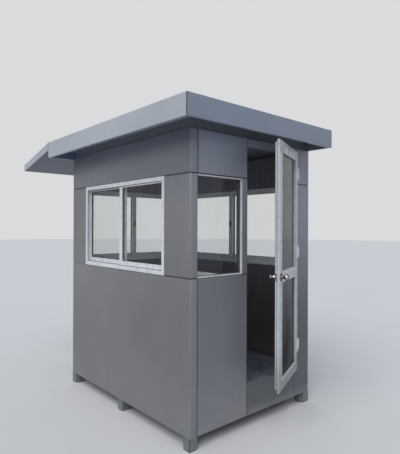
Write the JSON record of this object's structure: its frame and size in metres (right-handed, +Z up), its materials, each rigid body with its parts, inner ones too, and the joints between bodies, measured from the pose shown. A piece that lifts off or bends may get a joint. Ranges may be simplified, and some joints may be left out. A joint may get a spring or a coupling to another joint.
{
  "type": "security guard booth",
  "caption": "Steel-framed security guard booth in flat metal cladding, with sliding windows, a glazed door standing ajar, boxed eaves and a sloping rear canopy.",
  "frame": {"origin": "centre of the underside of the front left foot, on the ground", "axes": "+X to the right along the front, +Y from the front with the door to the back with the canopy, +Z up"},
  "size_m": [1.754, 3.1812, 2.6],
  "materials": {
    "cladding": "satin grey aluminium composite sheet",
    "eaves": "satin grey aluminium composite sheet",
    "frame_steel": "grey painted square steel tube",
    "roof_sheet": "flat coated steel sheet",
    "floor_board": "blue-grey faced plywood",
    "lining_board": "dull grey wall board",
    "white_profile": "white window profile with scraps of film",
    "clear_glass": "clear float glass",
    "door_glass": "clear float glass with dust",
    "shelf_board": "pale laminate",
    "white_hinge": "white enamelled steel",
    "lock_metal": "satin stainless steel"
  },
  "bodies": {
    "booth": {"back_fascia": "eaves", "back_wall_panels": "cladding", "back_window_frame": "white_profile", "back_window_glass": "clear_glass", "back_window_sashes": "white_profile", "base_beams": "frame_steel", "ceiling_panel": "lining_board", "door_header": "cladding", "floor_deck": "floor_board", "floor_joists": "frame_steel", "front_fascia": "eaves", "front_lower_panel": "cladding", "front_mid_pier": "cladding", "front_right_pier": "cladding", "front_upper_panel": "cladding", "front_window_frame": "white_profile", "front_window_glass": "clear_glass", "inner_linings": "lining_board", "jamb_hinge_leaves": "white_hinge", "left_back_pier": "cladding", "left_fascia": "eaves", "left_front_pier": "cladding", "left_lower_panel": "cladding", "left_upper_panel": "cladding", "left_window_frame": "white_profile", "left_window_glass": "clear_glass", "left_window_sashes": "white_profile", "legs": "frame_steel", "rear_canopy": "eaves", "right_fascia": "eaves", "right_wall_panels": "cladding", "right_window_frame": "white_profile", "right_window_glass": "clear_glass", "right_window_sashes": "white_profile", "roof_deck": "roof_sheet", "roof_joists": "frame_steel", "roof_ring_beams": "frame_steel", "soffit_boards": "eaves", "threshold_panel": "cladding", "wall_posts": "frame_steel", "wall_rails": "frame_steel", "wall_shelf": "shelf_board"},
    "door": {"door_leaf": "white_profile", "door_glass": "door_glass", "lock_trim": "lock_metal", "door_hinge_leaves": "white_hinge"},
    "knobs": {"door_knobs": "lock_metal"}
  },
  "joints": [
    {"name": "door_swing", "type": "hinge", "parent": "booth", "child": "door", "pos_m": [1.2405, -0.0715, 1.38], "axis": [0, 0, 1], "range_deg": [-24, 71]},
    {"name": "knob_turn", "type": "hinge", "parent": "door", "child": "knobs", "pos_m": [0.67136, -0.3249, 1.286], "axis": [0.4067, -0.9135, 0], "range_deg": [-60, 60], "stiffness_Nm_per_rad": 0.3}
  ]
}
